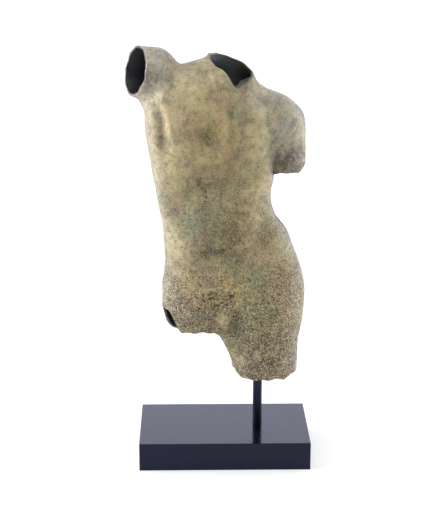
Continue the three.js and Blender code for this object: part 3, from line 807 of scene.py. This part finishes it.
patinaLook = {
    "tan": "#B8AA7F",         # khaki corrosion skin over the whole bronze
    "deepTan": "#968968",     # the same where it is thicker
    "ochre": "#B09C60",       # warm iron-stained skin down the front
    "pink": "#BC947A",        # cuprite showing through
    "grey": "#A9A9A0",        # pale grey, laid as painted light on the flanks and in spots on the shoulders
    "green": "#8C9C84",       # thin verdigris
    "brown": "#6B5755",       # purple-brown near the breaks and low on the legs; also painted shade under the arms
    "slate": "#6E6C58",       # dull olive film between the ochre
    "dark": "#37301F",        # old dirt in pits and furrows; also painted shade in creases, in grooves and under the breast and the hanging arm
    "cream": "#DCCDA2",       # lime left by the ground; also painted light on ridges and on the sides that face the lamps
    "neck": "#8FA0AA",        # painted light: teal-grey where light falls into the inside of the neck
    "hollow": "#101020",      # unlit casting wall
    "metal": 0.25,            # how much metal still shows through the mineral skin
    "roughness": (0.48, 0.66),
    "bump": 0.9,
    "bumpDepth": 2.2,         # mm
}
patinaClouds = {
    "broad": (62, 4, 0.55, (0, 0, 0)),
    "second": (34, 4, 0.55, (0.3, 0.1, 0.2)),
    "patch": (15, 5, 0.6, (0.1, 0.7, 0.4)),
    "mottle": (7, 4, 0.65, (0.5, 0.2, 0.9)),
    "speck": (3.6, 3, 0.7, (0.9, 0.3, 0.1)),
    "fine": (2.0, 2, 0.7, (0.2, 0.8, 0.6)),  # grit is finer than this, and is drawn as coarse as it shows
    "blotch": (21, 5, 0.65, (0.6, 0.6, 0.2)),
}
# values worked out from the guides and the clouds, each kept between 0 and 1
patinaSums = [
    ("brown", "MULTIPLY_ADD", "nearBreak", 0.45, "brownAndShade"),
    ("pits", "MULTIPLY_ADD", "coarse", 0.8, 0.14),
    ("walls", "SUBTRACT", "hollow", "neckLight"),
    ("halfSpeck", "MULTIPLY", "speck", 0.5),
    ("grit", "MULTIPLY_ADD", "fine", 0.5, "halfSpeck"),
    ("gritDepth", "ADD", "coarse", 0.25),
    ("grain", "MULTIPLY", "grit", "gritDepth"),
]
# from the bottom up: colour, where it lies, the cloud that breaks it up and its step, share
patinaLayers = [
    ("deepTan", None, "broad", step(0.42, 0.62), 1.0),
    ("ochre", "ochre", "patch", step(0.36, 0.6, 0.35, 1.0), 1.0),
    ("pink", None, "second", step(0.5, 0.64), 0.38),
    # pale grey, painted light on the flanks, and spots on the shoulders
    ("grey", "greyAndFlankLight", "patch", step(0.34, 0.56, 0.3, 1.0), 0.8),
    ("green", "greening", "patch", step(0.42, 0.56, 0.2, 1.0), 0.8),
    # purple-brown patina, partly painted shade under the arms
    ("brown", "brown", "mottle", step(0.38, 0.6, 0.4, 1.0), 0.85),
    ("slate", None, "mottle", step(0.5, 0.62), 0.4),
    # painted shade in creases and under forms, partly darker patina
    ("dark", "shadeAndDarkPatina", "mottle", step(0.36, 0.6, 0.25, 0.75), 1.0),
    ("dark", "furrow", None, None, 0.32),
    # thin dark lines: painted shade in grooves and the navel, and a mark on the left breast
    ("dark", "crackAndCreaseShade", "speck", step(0.56, 0.44, 0.2, 0.9), 1.0),
    ("slate", None, "blotch", step(0.49, 0.66), 0.62),
    ("cream", None, "blotch", step(0.46, 0.32), 0.35),
    ("dark", "pits", "speck", step(0.49, 0.36), 1.0),
    ("cream", "pits", "fine", step(0.52, 0.66), 0.85),
    ("dark", "pits", "fine", step(0.44, 0.32), 1.0),
    ("dark", "hair", "speck", step(0.53, 0.46), 0.8),
    # painted light on ridges and lit sides
    ("cream", "paintedLightAndWear", "mottle", step(0.62, 0.4, 0.15, 0.6), 1.0),
    # painted light inside the neck
    ("neck", "neckLight", "patch", step(0.36, 0.6, 0.6, 0.95), 1.0),
    ("hollow", "walls", None, None, 0.96),
]


def makePatina():
    # weathered bronze: mineral skin laid down in layers, with painted light and shade among them, dull, with
    # a little metal still answering the light
    material, tree, shader = newMaterial("weathered_bronze")
    values = cloudyPatterns(tree, patinaClouds)
    for name in ("nearBreak", "hollow", "neckLight", "coarse", "furrow", "hair", "crackAndCreaseShade", *patinaSpots):
        values[name] = addNode(tree, "ShaderNodeAttribute", {}, "Fac", attribute_name=name)
    keys = ("Value", "Value_001", "Value_002")
    for name, operation, *terms in patinaSums:
        inputs = {key: values.get(term, term) for key, term in zip(keys, terms)}
        values[name] = addNode(tree, "ShaderNodeMath", inputs, operation=operation, use_clamp=True)
    skin = colour(patinaLook["tan"])
    for paint, where, cloud, edges, share in patinaLayers:
        factors = [values[where]] if where else []
        if cloud:
            inputs = {"Value": values[cloud], **edges}
            factors.append(addNode(tree, "ShaderNodeMapRange", inputs, interpolation_type="SMOOTHSTEP"))
        amount = share
        for factor in factors:
            inputs = {"Value": amount, "Value_001": factor}
            amount = addNode(tree, "ShaderNodeMath", inputs, operation="MULTIPLY", use_clamp=True)
        inputs = {"Factor_Float": amount, "A_Color": skin, "B_Color": colour(patinaLook[paint])}
        skin = addNode(tree, "ShaderNodeMix", inputs, data_type="RGBA")
    dull = {"Value": values["patch"], **step(0.35, 0.65, *patinaLook["roughness"])}
    depth = patinaLook["bumpDepth"] * mm
    pressed = {"Strength": patinaLook["bump"], "Distance": depth, "Height": values["grain"]}
    tree.links.new(skin, shader.inputs["Base Color"])
    tree.links.new(addNode(tree, "ShaderNodeMapRange", dull, interpolation_type="SMOOTHSTEP"),
                   shader.inputs["Roughness"])
    tree.links.new(addNode(tree, "ShaderNodeBump", pressed), shader.inputs["Normal"])
    shader.inputs["Metallic"].default_value = patinaLook["metal"]
    return material


stoneLook = {
    "stone": "#06070B", "speck": "#32333A", "sheen": "#B4BCF0",
    "ior": 1.5, "roughness": (0.08, 0.15), "bump": 0.5, "bumpDepth": 0.3,
}
stoneClouds = {
    "grain": (2.2, 2, 0.5, (0, 0, 0)),
    "polish": (30, 3, 0.55, (0, 0, 0)),
    "pits": (3.1, 1, 0.5, (0.4, 0.4, 0.1)),
}


def makeStone():
    # honed black stone: near black, with the room's light lying on it like a veil
    material, tree, shader = newMaterial("honed_black_stone")
    clouds = cloudyPatterns(tree, stoneClouds)
    edges = {"grain": step(0.66, 0.74, 0.0, 0.7), "pits": step(0.24, 0.36),
             "polish": step(0.3, 0.7, *stoneLook["roughness"])}
    soft = {name: addNode(tree, "ShaderNodeMapRange", {"Value": clouds[name], **edges[name]},
                          interpolation_type="SMOOTHSTEP") for name in clouds}
    specks = {"Factor_Float": soft["grain"], "A_Color": colour(stoneLook["stone"]),
              "B_Color": colour(stoneLook["speck"])}
    depth = stoneLook["bumpDepth"] * mm
    pressed = {"Strength": stoneLook["bump"], "Distance": depth, "Height": soft["pits"]}
    tree.links.new(addNode(tree, "ShaderNodeMix", specks, data_type="RGBA"), shader.inputs["Base Color"])
    tree.links.new(soft["polish"], shader.inputs["Roughness"])
    tree.links.new(addNode(tree, "ShaderNodeBump", pressed), shader.inputs["Normal"])
    shader.inputs["IOR"].default_value = stoneLook["ior"]
    shader.inputs["Specular Tint"].default_value = colour(stoneLook["sheen"])
    return material


steelLook = {"paint": "#12121C", "sheen": "#A8B0F4", "roughness": (0.28, 0.4), "bump": 0.2, "bumpDepth": 0.2}
steelClouds = {"coat": (9, 3, 0.55, (0, 0, 0)), "peel": (1.4, 2, 0.55, (0, 0, 0))}


def makeSteel():
    # black painted steel: a soft sheen down its length
    material, tree, shader = newMaterial("black_painted_steel")
    clouds = cloudyPatterns(tree, steelClouds)
    sheen = {"Value": clouds["coat"], **step(0.3, 0.7, *steelLook["roughness"])}
    depth = steelLook["bumpDepth"] * mm
    pressed = {"Strength": steelLook["bump"], "Distance": depth, "Height": clouds["peel"]}
    tree.links.new(addNode(tree, "ShaderNodeMapRange", sheen, interpolation_type="SMOOTHSTEP"),
                   shader.inputs["Roughness"])
    tree.links.new(addNode(tree, "ShaderNodeBump", pressed), shader.inputs["Normal"])
    shader.inputs["Base Color"].default_value = colour(steelLook["paint"])
    shader.inputs["Specular Tint"].default_value = colour(steelLook["sheen"])
    return material


for thing, material in ((casting, makePatina()), (rod, makeSteel()), (plinth, makeStone())):
    thing.data.materials.clear()  # the boolean leaves an empty slot behind
    thing.data.materials.append(material)
    thing.data.polygons.foreach_set("material_index", np.zeros(len(thing.data.polygons), np.int32))
print("materials done")

studio = {
    "paper": "#C4C4C4", "dullness": 0.9, "sheen": 0.1,
    "floorGlow": 0.50, "floorTint": "#FFFFFF", "wallGlow": 1.0, "wallTint": "#E6EAFF",
    # the sweep, mm: front edge, start of the fine grid, start and radius of the bend, top, half width
    "edge": -3200.0, "gridFrom": -1500, "bendFrom": 900, "bend": 700, "wallTop": 3000.0, "halfWidth": 4000,
    "room": "#F4F6FA", "roomLight": 0.28,
    # the camera, mm and radians, from the middle of the plinth's underside
    "lens": 95.96, "sensor": 36.0, "stand": (-46.70, -1905.34, 832.25),
    "turnAcross": 0.023506, "turnDown": 0.283655, "turnRound": 0.002889,
}
# place and aim in mm, width and height in metres, power in watts
softboxes = {
    "softbox_left": {"place": (-1250, 60, 760), "aim": (0, 0, 330), "size": (0.9, 1.2), "power": 20.0},
    "softbox_right": {"place": (1250, 250, 600), "aim": (0, 0, 330), "size": (1.1, 1.4), "power": 13.0},
    "softbox_top": {"place": (-250, -250, 1600), "aim": (0, 0, 400), "size": (1.2, 1.2), "power": 11.0},
}


def makeSweep():
    # floor that runs back level and curves up into a wall: a straight line, a quarter circle, a straight line
    start, bend = studio["bendFrom"], studio["bend"]
    angle = np.linspace(0.15, 1, 12) * math.pi / 2
    level = np.linspace(studio["gridFrom"], start, 9)
    y = np.concatenate([[studio["edge"]], level, start + bend * np.sin(angle), [start + bend]])
    z = np.concatenate([[0.0], np.zeros(9), bend * (1 - np.cos(angle)), [studio["wallTop"]]])
    x = np.linspace(-studio["halfWidth"], studio["halfWidth"], 5)
    points = np.stack([np.repeat(x, len(y)), np.tile(y, len(x)), np.tile(z, len(x)) + footMiddle[2]], 1)
    index = np.arange(len(points)).reshape(len(x), len(y))
    faces = np.stack([index[:-1, :-1], index[1:, :-1], index[1:, 1:], index[:-1, 1:]], -1).reshape(-1, 4)
    return makeObject("floor_sweep", points, faces)


def makePaper(name, glow, tint):
    # matt white paper, lit a little from behind so that it stays plain
    material, tree, shader = newMaterial(name)
    shader.inputs["Base Color"].default_value = colour(studio["paper"])
    shader.inputs["Roughness"].default_value = studio["dullness"]
    shader.inputs["Specular IOR Level"].default_value = studio["sheen"]
    shader.inputs["Emission Color"].default_value = colour(tint)
    shader.inputs["Emission Strength"].default_value = glow
    return material


sweep = makeSweep()
sweep.data.materials.append(makePaper("pale_floor", studio["floorGlow"], studio["floorTint"]))
sweep.data.materials.append(makePaper("pale_wall", studio["wallGlow"], studio["wallTint"]))
centres = np.empty(len(sweep.data.polygons) * 3, np.float32)
sweep.data.polygons.foreach_get("center", centres)
sweep.data.polygons.foreach_set("material_index", (centres[2::3] > slabHigh[2] * mm).astype(np.int32))


def addLight(name, place, aim, size, power):
    # an oblong softbox that faces its aim
    lamp = bpy.data.lights.new(name, "AREA")
    lamp.shape = "RECTANGLE"
    lamp.size, lamp.size_y = size
    lamp.energy = power
    thing = bpy.data.objects.new(name, lamp)
    bpy.context.scene.collection.objects.link(thing)
    thing.location = (Vector(place) + Vector(footMiddle)) * mm
    toward = (Vector(aim) - Vector(place)).normalized()
    thing.rotation_euler = toward.to_track_quat("-Z", "Y").to_euler()


for name, box in softboxes.items():
    addLight(name, **box)

world = bpy.data.worlds.new("room")
world.use_nodes = True
world.node_tree.nodes["Background"].inputs["Color"].default_value = colour(studio["room"])
world.node_tree.nodes["Background"].inputs["Strength"].default_value = studio["roomLight"]
bpy.context.scene.world = world
bpy.context.scene.view_settings.view_transform = "Standard"

camera = bpy.data.objects.new("camera", bpy.data.cameras.new("camera"))
bpy.context.scene.collection.objects.link(camera)
bpy.context.scene.camera = camera
camera.data.lens = studio["lens"]
camera.data.sensor_width = studio["sensor"]
camera.location = Vector((np.array(studio["stand"]) + footMiddle) * mm)
turns = [(-studio["turnAcross"], "Z"), (math.pi / 2 - studio["turnDown"], "X"), (studio["turnRound"], "Z")]
across, down, around = (Matrix.Rotation(angle, 3, axis) for angle, axis in turns)
camera.rotation_euler = (across @ down @ around).to_euler()
print("camera and light done")
